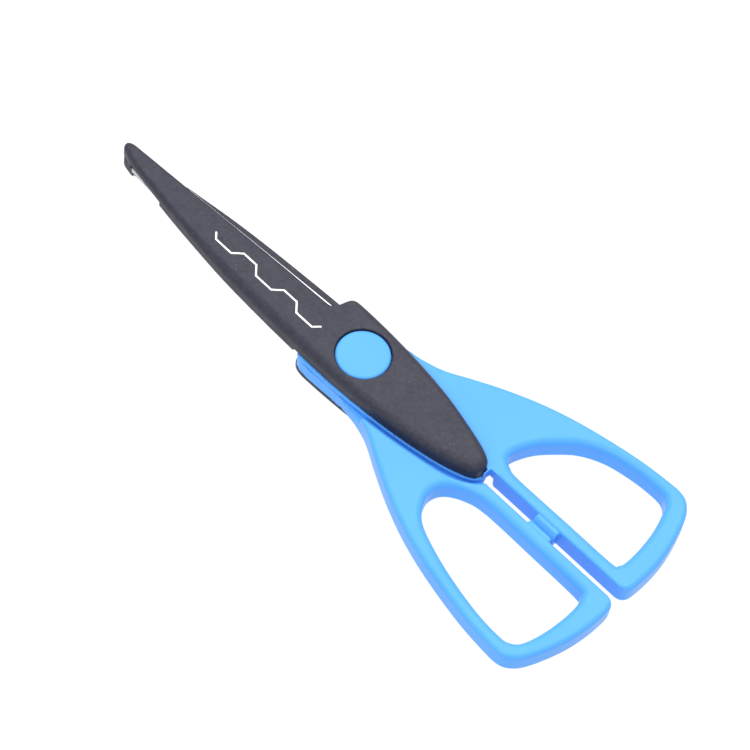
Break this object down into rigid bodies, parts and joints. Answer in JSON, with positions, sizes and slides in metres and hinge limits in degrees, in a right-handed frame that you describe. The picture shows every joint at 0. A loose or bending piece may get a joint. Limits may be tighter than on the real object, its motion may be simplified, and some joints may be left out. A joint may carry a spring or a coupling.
{
  "type": "decorative edge scissors",
  "caption": "Paper-craft scissors with wave-patterned blades under slim covers, ring handles with a straight inner bar, and a capped pivot.",
  "frame": {"origin": "on the pivot axis, in the plane that the closed scissors lie on, at the middle of the rear pivot cap", "axes": "+X from the pivot to the nose of the jaws, +Z out of the front cover, +Y towards the rear half's ring"},
  "size_m": [0.1673, 0.0626, 0.0125],
  "materials": {
    "blue_plastic": "light satin",
    "black_plastic": "satin, fine texture",
    "blade_steel": "fine grind along the blade",
    "zinc_plate": "zinc plated",
    "white_ink": "printed"
  },
  "bodies": {
    "rear_half": {"rear_handle": "blue_plastic", "rear_cover": "black_plastic", "rear_blade": "blade_steel", "rear_blade_rivets": "zinc_plate", "rear_cap": "blue_plastic", "pivot_screw": "zinc_plate", "pivot_nut": "zinc_plate", "rear_washer": "zinc_plate", "front_washer": "zinc_plate", "spring_washer": "zinc_plate"},
    "front_half": {"front_handle": "blue_plastic", "front_cover": "black_plastic", "front_blade": "blade_steel", "front_blade_rivets": "zinc_plate", "front_cap": "blue_plastic", "pivot_sleeve": "zinc_plate", "pattern_mark": "white_ink"}
  },
  "joints": [
    {"name": "pivot", "type": "hinge", "parent": "rear_half", "child": "front_half", "pos_m": [0, 0, 0], "axis": [0, 0, 1], "range_deg": [0, 50]}
  ]
}
